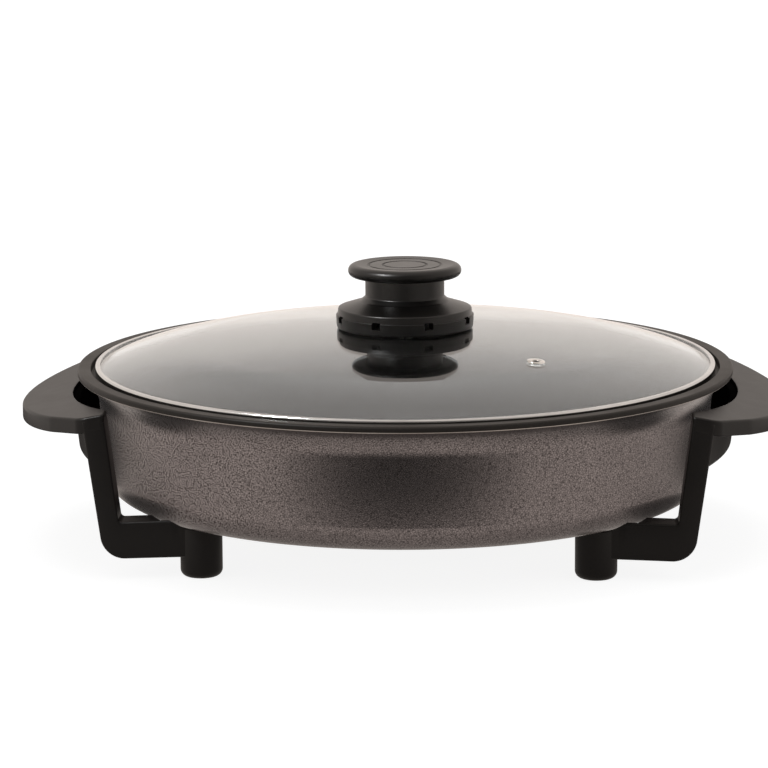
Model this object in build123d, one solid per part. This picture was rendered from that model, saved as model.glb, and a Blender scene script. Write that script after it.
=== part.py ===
from build123d import *
import math
import os

# A round electric skillet with a lift-off glass lid, in millimetres, +Z up.
# The origin is on the table under the pan's axis. The two handles lie along X and the inlet faces +Y.

# ---------------------------------------------------------------- pan casting
floor_under_z = 24.9      # underside of the pan's floor above the table
floor_thick = 4.6
wall_top_r = 158.3        # outside of the wall under the rim
wall_draft = 2.3          # how much the wall draws in towards the floor
wall_thick = 4.1
foot_bend = 14.0          # rounding between the wall and the floor
rim_top_z = 90.2
rim_width = 6.8           # flat top of the rim
rim_thick = 3.3
rim_flare = 6.1           # height over which the wall flares out to the rim
rim_flare_reach = 1.8     # flat strip left under the rim's edge
flare_round = 4.0
rim_round = 1.3
edge_round = 0.6
floor_bend_spare = 2.0    # how much wider the bend is inside than the wall alone makes it
seat_depth = 4.0          # the lid's seat below the top of the rim
lid_gap = 2.2             # between the lid's ring and the rim

# ---------------------------------------------------------------- lid
lid_overhang = 1.7        # the lid's ring past the outside of the wall
ring_steel = 0.8
ring_cover = 3.2          # how far the ring's top flange reaches over the glass
ring_foot_cover = 3.6
ring_round = 1.0
ring_lip_round = 0.3
glass_thick = 3.8
glass_edge_gap = 0.2      # between the glass's edge and the ring
dome_rise = 18.2          # crown of the glass above its flat rim
crown_bend = 900.0        # bend radius of the middle of the dome
crown_reach = 110.0       # where the middle bend meets the tighter outer bend
eyelet_r_at = 98.5
eyelet_angle = -46.6
eyelet_bore_r = 1.7
eyelet_tube_r = 3.1
eyelet_flange_r = 4.7
eyelet_flange = 0.7
eyelet_fit = 0.1          # round the tube, and under the curved glass

# ---------------------------------------------------------------- knob
skirt_r = 35.6            # the band round the foot of the knob
skirt_step = 0.8          # the band is narrower above its step by this
skirt_wall = 3.5
skirt_draft = 0.4         # the band narrows by this to the foot, and by this to the shoulder
skirt_round = 1.0
skirt_step_z = 6.4        # from the foot of the knob to the step in the band
skirt_cover = 3.1         # from the top of the vents to the top of the band
shoulder_thick = 1.7
neck_r = 20.4
neck_foot_reach = 2.6     # how far the shoulder's top stands out from the neck
neck_foot_rise = 3.6      # rise of the shoulder from the band to the neck
neck_foot_height = 2.4    # small upright step where the neck starts
shoulder_bend = 3.0
neck_top = 26.4           # from the foot of the knob to the top of the neck
neck_wall = 2.9
cap_r = 29.2
cap_height = 6.3
cap_plateau_r = 24.2
cap_dish = 0.4            # the middle of the cap lies below its plateau's edge
cap_slope = 2.3           # fall from the plateau to the cap's edge
cap_edge = 2.3            # upright edge of the cap
cap_under_reach = 2.8     # how far the cap's underside draws in below its edge
cap_bend = 2.2
cap_edge_bend = 1.6
cap_skirt = 3.0           # depth and thickness of the ring that seats in the neck's bore
cap_skirt_rise = 1.0
cap_fit = 0.05
cap_grooves = (11.3, 18.7)
groove_width = 1.6
groove_depth = 0.6
vent_count = 8
vent_width = 4.7
vent_height = 3.6
vent_rise = 3.5           # from the foot of the knob to the lower edge of the vents
vent_turn = 22.5          # the knob's turn from open to shut, half the pitch of the vents
turn_gap = 0.3            # between the turning skirt and the fixed vent ring
hub_r = 8.6
hub_fit = 0.06            # running fit of the knob on its hub
hub_below_neck = 8.2      # the hub's top below the top of the neck
lift_gap = 0.5            # between the knob's foot and the glass
web_gap = 0.3             # between the knob's web and the retaining washer
vent_floor = 2.0
vent_wall = 2.2
vent_wall_gap = 0.3       # between the vent ring's wall and the glass
vent_wall_spare = 0.4     # how far the vent ring's wall stands above the vents
vent_round = 0.4
steam_hole_r = 2.5
steam_hole_count = 3
steam_hole_at = 21.0

# ---------------------------------------------------------------- fasteners
screw_r = 2.5             # M5
screw_fit = 0.02          # thread against thread
drill_fit = 0.25          # a screw through a plain hole
small_screw_r = 2.0       # M4
washer_thick = 1.2
washer_r = 11.0
gasket_thick = 1.0
gasket_r = 13.0
gasket_relief = 0.15      # the lower gasket's flat face stays below the curved glass
gasket_fit = 0.1          # collar of the lower gasket in the glass's hole
glass_hole_r = 5.0
retaining_reach = 4.0     # how far the retaining washer stands out past the hub
retaining_screw_reach = 6.5
insert_r = 4.5            # brass insert in the hub
insert_cover = 1.5        # below the insert's foot
insert_depth = 1.0        # insert's top below the hub's top
knob_screw_grip = 5.0     # thread held by the insert
hole_spare = 1.0          # depth of a blind hole past its screw's tip
washer_fit = 0.3
head_height = 2.8
head_r = 4.6
slot_width = 1.2

# ---------------------------------------------------------------- handles and legs
handle_gap = 2.0          # between the rim and the handle plate, seen from above
plate_reach = 27.0        # from the plate's inner edge to its tip
plate_end_reach = 1.13    # how far the plate's ends stand out past the uprights
plate_corner = 9.0
plate_below_rim = 12.8    # from the rim's top to the plate's top at its inner edge
plate_slope = 0.2         # fall of the plate for each millimetre outwards
plate_thick = 8.0
plate_edge = 2.2          # rounding of the plate's outer edge
apron_foot_z = 51.5
apron_inset = 2.6         # the apron's foot inside the plate's inner edge, at the handle's middle
apron_lean = 2.8          # how much further out the apron is at the plate
apron_bend = 209.0        # radius of the apron's foot in plan
apron_wall = 3.4
frame_y = 96.5            # middle of each leg frame, from the handle's centre line
frame_thick = 15.0
upright_inset = 2.93      # from the plate's inner edge to the upright's inner edge
upright_top_width = 11.1
upright_foot_width = 7.7
upright_lean = 6.2        # how much the inner edge draws in towards the bar
upright_root = 1.1        # the upright's top above the plate's top at its inner edge
bar_under_z = 9.4         # underside of the bar at its outer end
bar_height = 19.0
bar_rise = 1.6            # how much higher the bar is at the pillar
frame_corner = 12.0
frame_inner_corner = 2.0
frame_edge = 1.2
apron_round = 1.2
apron_flare = 2.5         # root of the apron in the plate
apron_sink = 1.5          # the apron's root stops this far below the plate's top
apron_lap = 2.0           # how far the apron runs into each leg frame
pillar_x = 97.7
pillar_r = 10.5
pillar_edge = 3.0
pan_clearance = 0.4       # between the moulding and the pan's surface
boss_r = 6.0              # screw boss cast under the pan, inside the pillar's socket
boss_drop = 7.7
boss_fit = 0.3
counterbore_r = 5.7
counterbore_depth = 8.0
leg_screw_grip = 1.1      # the screw's tip above the underside of the pan's floor

# ---------------------------------------------------------------- heating element and inlet
element_r = 3.25          # half the tube's thickness
element_loop_r = 85.0
element_drop = 7.4        # tube's centre below the pan's floor
element_bend = 14.0       # bend from the loop to the two straight ends
pin_half_pitch = 9.5
ridge_width = 16.0        # cast ridge that holds the loop
ridge_wall = 1.85         # metal below the tube
block_half_width = 18.0   # cast block round the element's ends
block_lap = 7.0           # the block starts this far inside the element's loop
block_setback = 4.0       # from the block's end to the end of the pan's flat floor
element_stub = 8.0        # the element's ends past the block
pin_r = 2.0
pin_length = 19.0
insulator_wall = 1.3
insulator_length = 6.0
sleeve_bore_r = 2.8
sleeve_wall = 0.9
sleeve_stub = 12.0        # the sleeve's end past the block
sleeve_length = 54.0
shroud_half_width = 21.5
shroud_wall = 2.4
shroud_back = 3.5
shroud_depth = 28.0
shroud_drop = 15.2        # from the pan's floor down to the underside of the shroud
lug_reach = 11.5
lug_depth = 14.5
lug_thick = 4.0
lug_boss_r = 5.0
lug_boss_drop = 3.0
lug_gap = 0.3             # between a lug and the cast block
casting_round = 4.0       # upright corners of the block and the lugs
ridge_round = 3.0
shroud_round = 2.0
shroud_roof = 1.8
lug_screw_reach = 9.4
root = 1.0                # how far bosses and ridges are sunk into the pan's floor

# ---------------------------------------------------------------- sizes that follow
floor_z = floor_under_z + floor_thick
wall_foot_r = wall_top_r - wall_draft
lid_r = wall_top_r + lid_overhang
rim_under_z = rim_top_z - rim_thick
flare_z = rim_under_z - rim_flare
seat_z = rim_top_z - seat_depth
seat_r = lid_r + lid_gap
rim_r = seat_r + rim_width
glass_rim_under_z = seat_z + ring_steel
glass_rim_z = glass_rim_under_z + glass_thick
ring_top_z = glass_rim_z + ring_steel
glass_r = lid_r - ring_steel - glass_edge_gap
dome_r = lid_r - ring_cover - glass_edge_gap
crown_z = glass_rim_z + dome_rise
crown_centre_z = crown_z - crown_bend
knob_foot_z = crown_centre_z + math.sqrt(crown_bend**2 - skirt_r**2) + lift_gap
vent_floor_z = crown_z + gasket_thick
insert_foot_z = vent_floor_z + insert_cover
skirt_upper_r = skirt_r - skirt_step
vent_ring_r = skirt_upper_r - skirt_wall - turn_gap
skirt_height = vent_rise + vent_height + skirt_cover
neck_bore_r = neck_r - neck_wall
neck_top_z = knob_foot_z + neck_top
hub_top_z = neck_top_z - hub_below_neck
glass_under_z = crown_z - glass_thick
frame_front_y = frame_y + frame_thick / 2
frame_back_y = frame_y - frame_thick / 2
plate_inner_r = rim_r + handle_gap
plate_tip_x = plate_inner_r + plate_reach
plate_inner_z = rim_top_z - plate_below_rim
upright_inner_top_x = math.sqrt(plate_inner_r**2 - frame_y**2) + upright_inset
upright_inner_foot_x = upright_inner_top_x - upright_lean
upright_foot_x = upright_inner_foot_x + upright_foot_width
upright_top_x = upright_inner_top_x + upright_top_width
upright_top_z = plate_inner_z + upright_root
apron_foot_x = plate_inner_r - apron_inset
leg_tip_z = floor_under_z + leg_screw_grip
boss_foot_z = floor_under_z - boss_drop
element_z = floor_under_z - element_drop
ridge_foot_z = element_z - element_r - ridge_wall
shroud_foot_z = floor_under_z - shroud_drop
block_start_y = element_loop_r - block_lap
block_end_y = wall_foot_r - foot_bend - block_setback
element_end_y = block_end_y + element_stub
sleeve_end_y = block_end_y + sleeve_stub
sleeve_start_y = sleeve_end_y - sleeve_length
shroud_mouth_y = block_end_y + shroud_depth
lug_top_z = floor_under_z - lug_boss_drop
lug_x = block_half_width + screw_r + lug_boss_r
lug_y = block_end_y + shroud_back - lug_depth / 2


# A closed outline in the XZ plane. Each corner is (distance from the axis, height, corner radius).
def section(corners):
    points = [(across, 0, up) for across, up, _ in corners]
    radii = [bend for _, _, bend in corners]
    return make_face(FilletPolyline(*points, radius=radii, close=True).edges())


def turned(corners):
    return revolve(section(corners), Axis.Z)


def upright_cylinder(radius, low_z, high_z, x=0.0, y=0.0):
    bar = Cylinder(radius, high_z - low_z, align=(Align.CENTER, Align.CENTER, Align.MIN))
    return Pos(x, y, low_z) * bar


# A cylinder along +Y.
def lying_cylinder(radius, start_y, end_y, x, z):
    bar = Cylinder(radius, end_y - start_y, align=(Align.CENTER, Align.CENTER, Align.MIN))
    return Pos(x, start_y, z) * Rot(-90, 0, 0) * bar


def block(low, high):
    size = [top - bottom for bottom, top in zip(low, high)]
    return Pos(*low) * Box(*size, align=(Align.MIN, Align.MIN, Align.MIN))


# Pan-head screw pointing up: the head's top face, under which it clamps, is at clamp_z.
def screw_up(radius, clamp_z, reach, x=0.0, y=0.0):
    head = upright_cylinder(head_r, clamp_z - head_height, clamp_z)
    head = fillet(head.edges().sort_by(Axis.Z)[0], head_height / 3)
    shank = upright_cylinder(radius, clamp_z, clamp_z + reach)
    shank = chamfer(shank.edges().sort_by(Axis.Z)[-1], radius / 4)
    low = clamp_z - head_height
    slot_depth = head_height / 2
    slot = block((-head_r, -slot_width / 2, low), (head_r, slot_width / 2, low + slot_depth))
    cross = slot + Rot(0, 0, 90) * slot
    return Pos(x, y, 0) * (head + shank - cross)


def leg_places():
    return [(sx * pillar_x, sy * frame_y) for sx in (-1, 1) for sy in (-1, 1)]


# ---------------------------------------------------------------- pan
# Path of the heating element: a loop under the floor whose two ends bend out towards +Y.
def element_path():
    bend_x = pin_half_pitch + element_bend
    bend_y = math.sqrt((element_loop_r + element_bend) ** 2 - bend_x**2)
    share = element_loop_r / (element_loop_r + element_bend)
    join = (bend_x * share, bend_y * share, element_z)
    middle = Vector(pin_half_pitch - bend_x, 0, 0) + Vector(join[0] - bend_x, join[1] - bend_y, 0)
    middle = Vector(bend_x, bend_y, element_z) + middle.normalized() * element_bend
    end = (pin_half_pitch, element_end_y, element_z)
    straight = Line(end, (pin_half_pitch, bend_y, element_z))
    turn = ThreePointArc((pin_half_pitch, bend_y, element_z), middle, join)
    side = ThreePointArc(join, (element_loop_r, 0, element_z), (0, -element_loop_r, element_z))
    half = [straight, turn, side]
    other_half = [mirror(edge, about=Plane.YZ) for edge in half]
    return Wire([edge.edge() for edge in half + other_half])


def element_tube():
    start = Plane(origin=(pin_half_pitch, element_end_y, element_z), z_dir=(0, -1, 0))
    return sweep(start * Circle(element_r), path=element_path())


def pan_shell():
    return turned(
        [
            (0, floor_under_z, 0),
            (wall_foot_r, floor_under_z, foot_bend),
            (wall_top_r, flare_z, flare_round),
            (rim_r - rim_flare_reach, rim_under_z, edge_round),
            (rim_r, rim_under_z, edge_round),
            (rim_r, rim_top_z, rim_round),
            (seat_r, rim_top_z, edge_round),
            (seat_r, seat_z, edge_round),
            (wall_top_r - wall_thick, seat_z, edge_round),
            (wall_foot_r - wall_thick, floor_z, foot_bend - wall_thick + floor_bend_spare),
            (0, floor_z, 0),
        ]
    )


def make_pan():
    pan = pan_shell()
    inner = element_loop_r - ridge_width / 2
    outer = element_loop_r + ridge_width / 2
    ridge = turned(
        [
            (inner, floor_under_z + root, 0),
            (inner, ridge_foot_z, ridge_round),
            (outer, ridge_foot_z, ridge_round),
            (outer, floor_under_z + root, 0),
        ]
    )
    low = (-block_half_width, block_start_y, ridge_foot_z)
    cast_block = block(low, (block_half_width, block_end_y, floor_under_z + root))
    cast_block = fillet(cast_block.edges().filter_by(Axis.Z), casting_round)
    pan = pan + ridge + cast_block
    for x, y in leg_places():
        pan = pan + upright_cylinder(boss_r, boss_foot_z, floor_under_z + root, x, y)
    for side in (-1, 1):
        pan = pan + upright_cylinder(lug_boss_r, lug_top_z, floor_under_z + root, side * lug_x, lug_y)
    pan = pan - element_tube()
    pan = pan - lying_cylinder(sleeve_bore_r + sleeve_wall, sleeve_start_y, block_end_y, 0, element_z)
    for x, y in leg_places():
        pan = pan - upright_cylinder(screw_r + screw_fit, boss_foot_z, leg_tip_z + hole_spare, x, y)
    lug_tip_z = lug_top_z - lug_thick + lug_screw_reach + hole_spare / 2
    for side in (-1, 1):
        pan = pan - upright_cylinder(small_screw_r + screw_fit, lug_top_z, lug_tip_z, side * lug_x, lug_y)
    return pan


# ---------------------------------------------------------------- inlet
def make_pins():
    pins = []
    for side in (-1, 1):
        tip_y = element_end_y + pin_length
        pin = lying_cylinder(pin_r, element_end_y, tip_y, side * pin_half_pitch, element_z)
        pins.append(fillet(pin.edges().sort_by(Axis.Y)[-1], pin_r / 2))
    return Compound(children=pins)


def make_insulators():
    rings = []
    for side in (-1, 1):
        x = side * pin_half_pitch
        end_y = block_end_y + insulator_length
        tube = lying_cylinder(element_r + insulator_wall, block_end_y, end_y, x, element_z)
        rings.append(tube - lying_cylinder(element_r, block_end_y, end_y, x, element_z))
    return Compound(children=rings)


def make_sleeve():
    tube = lying_cylinder(sleeve_bore_r + sleeve_wall, sleeve_start_y, sleeve_end_y, 0, element_z)
    return tube - lying_cylinder(sleeve_bore_r, sleeve_start_y + sleeve_wall, sleeve_end_y, 0, element_z)


def make_shroud():
    half = shroud_half_width
    outside = block((-half, block_end_y, shroud_foot_z), (half, shroud_mouth_y, floor_under_z))
    outside = fillet(outside.edges().filter_by(Axis.Y), shroud_round)
    low = (-half + shroud_wall, block_end_y + shroud_back, shroud_foot_z + shroud_wall)
    high = (half - shroud_wall, shroud_mouth_y, floor_under_z - shroud_roof)
    shroud = outside - block(low, high)
    for side in (-1, 1):
        edge_x = block_half_width + lug_gap
        reach = half + lug_reach
        xs = sorted((side * edge_x, side * reach))
        low = (xs[0], block_end_y + shroud_back - lug_depth, lug_top_z - lug_thick)
        lug = block(low, (xs[1], block_end_y + shroud_back, lug_top_z))
        corners = lug.edges().filter_by(Axis.Z).sort_by(Axis.X)
        outer = corners[-2:] if side > 0 else corners[:2]
        shroud = shroud + fillet(outer, casting_round)
    for side in (-1, 1):
        x = side * pin_half_pitch
        end_y = block_end_y + shroud_back
        shroud = shroud - lying_cylinder(element_r + insulator_wall, block_end_y, end_y, x, element_z)
        drill_r = small_screw_r + drill_fit
        shroud = shroud - upright_cylinder(drill_r, lug_top_z - lug_thick, lug_top_z, side * lug_x, lug_y)
    sleeve_r = sleeve_bore_r + sleeve_wall
    shroud = shroud - lying_cylinder(sleeve_r, block_end_y, block_end_y + shroud_back, 0, element_z)
    return shroud - pan_keep_out()


def make_inlet_screws():
    clamp_z = lug_top_z - lug_thick
    screws = [screw_up(small_screw_r, clamp_z, lug_screw_reach, side * lug_x, lug_y) for side in (-1, 1)]
    return Compound(children=screws)


# ---------------------------------------------------------------- handles
# The space kept free for the pan: its outside, grown by a clearance, but open at the flat floor.
def pan_keep_out():
    gap = pan_clearance
    return turned(
        [
            (0, floor_under_z, 0),
            (wall_foot_r - foot_bend, floor_under_z, 0),
            (wall_foot_r - foot_bend, floor_under_z - gap, 0),
            (wall_foot_r + gap, floor_under_z - gap, foot_bend + gap),
            (wall_top_r + gap, flare_z, 0),
            (rim_r + gap, rim_under_z - gap, 0),
            (rim_r + gap, rim_top_z, 0),
            (0, rim_top_z, 0),
        ]
    )


# Everything below the plate's top face, lowered by sink.
def below_plate_top(sink):
    reach = 100.0
    high = plate_inner_z + plate_slope * reach - sink
    low = plate_inner_z - plate_slope * reach - sink
    corners = [
        (plate_inner_r - reach, -1.0, 0),
        (plate_inner_r + reach, -1.0, 0),
        (plate_inner_r + reach, low, 0),
        (plate_inner_r - reach, high, 0),
    ]
    return extrude(section(corners), amount=2 * plate_tip_x, both=True)


def make_plate():
    y = frame_front_y
    outer_x = upright_top_x + plate_end_reach
    inner_x = upright_inner_top_x
    edge = make_face(
        [
            Line((inner_x, -y), (outer_x, -y)),
            ThreePointArc((outer_x, -y), (plate_tip_x, 0), (outer_x, y)),
            Line((outer_x, y), (inner_x, y)),
            Line((inner_x, y), (inner_x, -y)),
        ]
    )
    corners = edge.vertices().group_by(Axis.X)[-1]
    edge = fillet(corners, plate_corner)
    slab = extrude(edge, amount=rim_top_z) & (below_plate_top(0.0) - below_plate_top(plate_thick))
    outer_face = slab.faces().sort_by(Axis.X)[-1]
    long_edges = outer_face.edges().sort_by(SortBy.LENGTH)[-2:]
    slab = fillet(long_edges, plate_edge)
    return slab - upright_cylinder(plate_inner_r, 0, rim_top_z)


def make_leg_frame():
    bar_top_z = bar_under_z + bar_height
    corners = [
        (pillar_x, bar_under_z + bar_rise, 0),
        (upright_foot_x, bar_under_z, frame_corner),
        (upright_top_x, upright_top_z, 0),
        (upright_inner_top_x, upright_top_z, 0),
        (upright_inner_foot_x, bar_top_z, frame_inner_corner),
        (pillar_x, bar_top_z + bar_rise, 0),
    ]
    flat = extrude(section(corners), amount=frame_thick / 2, both=True)
    faces = flat.faces().sort_by(Axis.Y)
    flat = fillet(faces[0].edges() + faces[-1].edges(), frame_edge)
    return Pos(0, frame_y, 0) * flat


def make_apron():
    centre_x = apron_foot_x - apron_bend
    lean = apron_lean / (plate_inner_z - apron_foot_z)
    top_r = apron_bend + lean * (rim_under_z - apron_foot_z)
    plate_under_r = apron_bend + lean * (plate_inner_z - plate_thick - apron_foot_z)
    ring = turned(
        [
            (apron_bend - apron_wall, apron_foot_z, apron_round),
            (apron_bend, apron_foot_z, apron_round),
            (plate_under_r, plate_inner_z - plate_thick, 0),
            (top_r + apron_flare, rim_under_z, 0),
            (top_r - apron_wall, rim_under_z, 0),
        ]
    )
    half = frame_back_y + apron_lap
    middle = block((0, -half, 0), (plate_tip_x, half, rim_top_z))
    return Pos(centre_x, 0, 0) * ring & middle & below_plate_top(apron_sink)


def make_handle():
    handle = make_plate() + make_apron()
    frame = make_leg_frame()
    handle = handle + frame + mirror(frame, about=Plane.XZ)
    for side in (-1, 1):
        y = side * frame_y
        pillar = upright_cylinder(pillar_r, 0, floor_under_z, pillar_x, y)
        handle = handle + fillet(pillar.edges().sort_by(Axis.Z)[0], pillar_edge)
    handle = handle - pan_keep_out()
    for side in (-1, 1):
        y = side * frame_y
        handle = handle - upright_cylinder(boss_r + boss_fit, boss_foot_z, rim_top_z, pillar_x, y)
        handle = handle - upright_cylinder(screw_r + drill_fit, 0, boss_foot_z, pillar_x, y)
        handle = handle - upright_cylinder(counterbore_r, 0, counterbore_depth, pillar_x, y)
    return handle


def make_leg_screws():
    clamp_z = counterbore_depth - washer_thick
    return Compound(children=[screw_up(screw_r, clamp_z, leg_tip_z - clamp_z, x, y) for x, y in leg_places()])


def make_leg_washers():
    washers = []
    for x, y in leg_places():
        low_z = counterbore_depth - washer_thick
        disc = upright_cylinder(counterbore_r - washer_fit, low_z, counterbore_depth, x, y)
        washers.append(disc - upright_cylinder(screw_r + drill_fit, 0, counterbore_depth, x, y))
    return Compound(children=washers)


# ---------------------------------------------------------------- lid
# Height of the glass's upper face at a distance from the axis, inside the crown bend.
def crown_height(distance):
    return crown_centre_z + math.sqrt(crown_bend**2 - distance**2)


# The glass is a section of three bends: a flat rim, a tighter outer bend and a wide crown.
def make_glass_blank():
    slope = math.asin(crown_reach / crown_bend)
    tangent = Vector(crown_reach, 0, crown_height(crown_reach))
    normal = Vector(math.sin(slope), 0, math.cos(slope))
    rim_point = Vector(dome_r, 0, glass_rim_z)
    step = tangent - rim_point
    shoulder_bend = step.length**2 / (2 * normal.dot(step))
    shoulder_centre = tangent - normal * shoulder_bend
    rim_normal = (rim_point - shoulder_centre).normalized()
    middle_normal = (normal + rim_normal).normalized()
    crown_centre = Vector(0, 0, crown_centre_z)
    half_normal = Vector(math.sin(slope / 2), 0, math.cos(slope / 2))

    def at_depth(depth):
        crown = [
            Vector(0, 0, crown_z - depth),
            crown_centre + half_normal * (crown_bend - depth),
            tangent - normal * depth,
        ]
        shoulder = [
            tangent - normal * depth,
            shoulder_centre + middle_normal * (shoulder_bend - depth),
            rim_point - rim_normal * depth,
        ]
        return crown, shoulder

    top_crown, top_shoulder = at_depth(0)
    low_crown, low_shoulder = at_depth(glass_thick)
    edge = [
        rim_point,
        Vector(glass_r, 0, glass_rim_z),
        Vector(glass_r, 0, glass_rim_under_z),
        Vector(dome_r, 0, glass_rim_under_z),
        low_shoulder[2],
    ]
    outline = [ThreePointArc(*top_crown), ThreePointArc(*top_shoulder)]
    outline = outline + [Line(a, b) for a, b in zip(edge[:-1], edge[1:])]
    outline = outline + [ThreePointArc(*low_shoulder), ThreePointArc(*low_crown)]
    outline = outline + [Line(low_crown[0], top_crown[0])]
    return revolve(make_face([line.edge() for line in outline]), Axis.Z)


# A plane on the glass's upper face at the eyelet, with its normal out of the glass.
def eyelet_plane():
    turn = math.radians(eyelet_angle)
    x = eyelet_r_at * math.cos(turn)
    y = eyelet_r_at * math.sin(turn)
    z = crown_height(eyelet_r_at)
    return Plane(origin=(x, y, z), z_dir=(x, y, z - crown_centre_z))


def steam_places():
    steps = [2 * math.pi * i / steam_hole_count for i in range(steam_hole_count)]
    return [(steam_hole_at * math.cos(a), steam_hole_at * math.sin(a)) for a in steps]


def make_glass():
    glass = make_glass_blank()
    glass = glass - upright_cylinder(glass_hole_r, glass_rim_z, crown_z + glass_thick)
    for x, y in steam_places():
        glass = glass - upright_cylinder(steam_hole_r, glass_rim_z, crown_z + glass_thick, x, y)
    return glass - eyelet_plane() * Cylinder(eyelet_tube_r + eyelet_fit, 4 * glass_thick)


def make_ring():
    inner = lid_r - ring_cover
    foot_inner = lid_r - ring_foot_cover
    web = lid_r - ring_steel
    return turned(
        [
            (foot_inner, seat_z, ring_lip_round),
            (lid_r, seat_z, ring_round),
            (lid_r, ring_top_z, ring_round),
            (inner, ring_top_z, ring_lip_round),
            (inner, glass_rim_z, 0),
            (web, glass_rim_z, 0),
            (web, glass_rim_under_z, 0),
            (foot_inner, glass_rim_under_z, ring_lip_round),
        ]
    )


def make_eyelet():
    grip = glass_thick + eyelet_fit
    tube = Pos(0, 0, -grip / 2) * Cylinder(eyelet_tube_r, grip + 2 * eyelet_flange)
    top = Pos(0, 0, eyelet_flange / 2) * Cylinder(eyelet_flange_r, eyelet_flange)
    top = fillet(top.edges().sort_by(Axis.Z)[-1], eyelet_flange * 0.8)
    foot = Pos(0, 0, -grip - eyelet_flange / 2) * Cylinder(eyelet_flange_r, eyelet_flange)
    body = tube + top + foot - Cylinder(eyelet_bore_r, 4 * glass_thick)
    return eyelet_plane() * body


def make_lower_gasket():
    low_z = glass_under_z - gasket_thick
    flat = upright_cylinder(gasket_r, low_z, glass_under_z - gasket_relief)
    collar = upright_cylinder(glass_hole_r - gasket_fit, low_z, crown_z)
    return flat + collar - upright_cylinder(screw_r + drill_fit, 0, crown_z)


def make_upper_gasket():
    flat = upright_cylinder(gasket_r, crown_z, vent_floor_z)
    return flat - upright_cylinder(screw_r + drill_fit, crown_z, vent_floor_z)


def make_knob_washer():
    top_z = glass_under_z - gasket_thick
    disc = upright_cylinder(washer_r, top_z - washer_thick, top_z)
    disc = fillet(disc.edges().sort_by(Axis.Z)[0], washer_thick / 2)
    return disc - upright_cylinder(screw_r + drill_fit, top_z - washer_thick, top_z)


def make_insert():
    tube = upright_cylinder(insert_r, insert_foot_z, hub_top_z - insert_depth)
    return tube - upright_cylinder(screw_r + screw_fit, insert_foot_z, hub_top_z)


def make_knob_screw():
    clamp_z = glass_under_z - gasket_thick - washer_thick
    return screw_up(screw_r, clamp_z, insert_foot_z + knob_screw_grip - clamp_z)


# Vents: radial openings of one width round the band of the knob.
def vent_cutters(inner_r, outer_r, low_z, high_z):
    cutters = []
    for i in range(vent_count):
        turn = (i + 0.5) * 360 / vent_count
        cutter = block((inner_r, -vent_width / 2, low_z), (outer_r, vent_width / 2, high_z))
        cutters.append(Rot(0, 0, turn) * cutter)
    return cutters


def make_vent_ring():
    outer = vent_ring_r
    inner = outer - vent_wall
    wall_foot_z = crown_height(outer - vent_wall) + vent_wall_gap
    vent_foot_z = knob_foot_z + vent_rise
    wall_top_z = vent_foot_z + vent_height + vent_wall_spare
    floor_top_z = vent_floor_z + vent_floor
    ring = turned(
        [
            (0, vent_floor_z, 0),
            (inner, vent_floor_z, 0),
            (inner, wall_foot_z, 0),
            (outer, wall_foot_z, vent_round),
            (outer, wall_top_z, vent_round),
            (inner, wall_top_z, vent_round),
            (inner, floor_top_z, 0),
            (hub_r, floor_top_z, edge_round),
            (hub_r, hub_top_z, vent_round),
            (0, hub_top_z, 0),
        ]
    )
    for cutter in vent_cutters(inner - vent_wall, outer + vent_wall, vent_foot_z, wall_top_z + vent_height):
        ring = ring - cutter
    for x, y in steam_places():
        ring = ring - upright_cylinder(steam_hole_r, vent_floor_z, floor_top_z, x, y)
    ring = ring - upright_cylinder(screw_r + drill_fit, vent_floor_z, insert_foot_z)
    return ring - upright_cylinder(insert_r, insert_foot_z, hub_top_z)


def make_retaining_washer():
    ring = upright_cylinder(hub_r + retaining_reach, hub_top_z, hub_top_z + washer_thick)
    return ring - upright_cylinder(screw_r + drill_fit, hub_top_z, hub_top_z + washer_thick)


def make_retaining_screw():
    screw = screw_up(screw_r, 0.0, retaining_screw_reach)
    return Pos(0, 0, hub_top_z + washer_thick) * Rot(180, 0, 0) * screw


def make_knob_body():
    inner_r = vent_ring_r + turn_gap
    bore_r = hub_r + hub_fit
    band_top_z = knob_foot_z + skirt_height
    step_z = knob_foot_z + skirt_step_z
    neck_foot_z = band_top_z + neck_foot_rise
    web_low_z = neck_foot_z - shoulder_thick
    web_top_z = hub_top_z - web_gap
    knob = turned(
        [
            (inner_r, knob_foot_z, edge_round),
            (skirt_r - skirt_draft, knob_foot_z, skirt_round),
            (skirt_r, step_z, 0),
            (skirt_upper_r, step_z, 0),
            (skirt_upper_r - skirt_draft, band_top_z, skirt_round),
            (neck_r + neck_foot_reach, neck_foot_z, shoulder_bend),
            (neck_r, neck_foot_z + neck_foot_height, skirt_round),
            (neck_r, neck_top_z, 0),
            (neck_bore_r, neck_top_z, 0),
            (neck_bore_r, web_top_z, edge_round),
            (bore_r, web_top_z, 0),
            (bore_r, web_low_z, 0),
            (neck_bore_r, web_low_z, skirt_round),
            (inner_r, band_top_z - shoulder_thick, skirt_round),
        ]
    )
    low_z = knob_foot_z + vent_rise
    for cutter in vent_cutters(inner_r - skirt_wall, skirt_r + skirt_wall, low_z, low_z + vent_height):
        knob = knob - cutter
    return knob


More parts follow.
